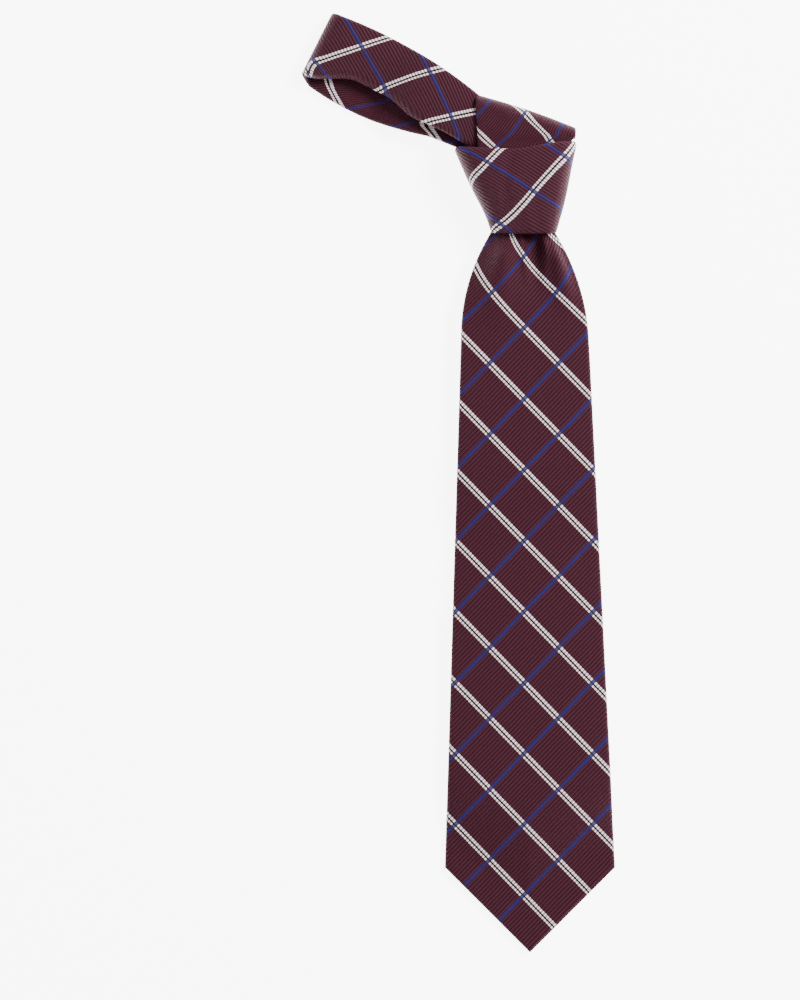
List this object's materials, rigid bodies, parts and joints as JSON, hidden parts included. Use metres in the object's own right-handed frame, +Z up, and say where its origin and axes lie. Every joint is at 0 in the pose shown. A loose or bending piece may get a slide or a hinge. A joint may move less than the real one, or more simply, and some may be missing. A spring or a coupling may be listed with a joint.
{
  "type": "necktie",
  "caption": "Checked silk necktie tied in a half-Windsor style knot and laid flat, its neck loop folded to one side and its tail behind the front blade.",
  "frame": {"origin": "on the surface that the tie lies on, under the middle of its overall box", "axes": "+Y from the blade's tip to the knot, +Z up from the surface out of the tie's front, +X to the right seen from the front"},
  "size_m": [0.1484, 0.445, 0.0237],
  "materials": {
    "silk": "burgundy ribbed silk with a diagonal check of lilac, cream and navy lines, soft sheen",
    "interlining": "natural wool interlining, brushed, matt",
    "tipping": "burgundy satin lining, smooth sheen",
    "thread": "burgundy silk sewing thread, twisted",
    "label": "dark woven label, left blank",
    "care_tag": "white woven tag, left blank"
  },
  "bodies": {
    "knot": {"knot_front_wrap": "silk", "knot_front_wrap_interlining": "interlining", "knot_top_pass": "silk", "knot_top_pass_interlining": "interlining", "knot_back_pass": "silk", "knot_back_pass_interlining": "interlining"},
    "front_blade": {"front_blade_shell": "silk", "front_blade_interlining": "interlining", "front_tipping": "tipping", "front_slip_stitch": "thread", "front_bar_tack": "thread", "keeper_loop": "silk", "label": "label", "care_tag": "care_tag"},
    "tail_blade": {"tail_blade_shell": "silk", "tail_blade_interlining": "interlining", "tail_tipping": "tipping", "tail_slip_stitch": "thread", "tail_bar_tack": "thread"},
    "neck_loop": {"neck_band_shell": "silk", "neck_band_interlining": "interlining", "neck_slip_stitch": "thread"}
  },
  "joints": [
    {"name": "front_blade_lift", "type": "hinge", "parent": "knot", "child": "front_blade", "pos_m": [0.03115, 0.11832, 0.0133], "axis": [-1, 0, 0], "range_deg": [0, 80]},
    {"name": "tail_slide", "type": "slide", "parent": "knot", "child": "tail_blade", "axis": [0, -1, 0], "range_m": [-0.02, 0.05]},
    {"name": "neck_loop_draw", "type": "slide", "parent": "knot", "child": "neck_loop", "axis": [0.8934, -0.4493, 0], "range_m": [-0.01, 0.025]}
  ],
  "couplings": [
    {"joint": "neck_loop_draw", "follows": "tail_slide", "ratio": 0.5}
  ]
}
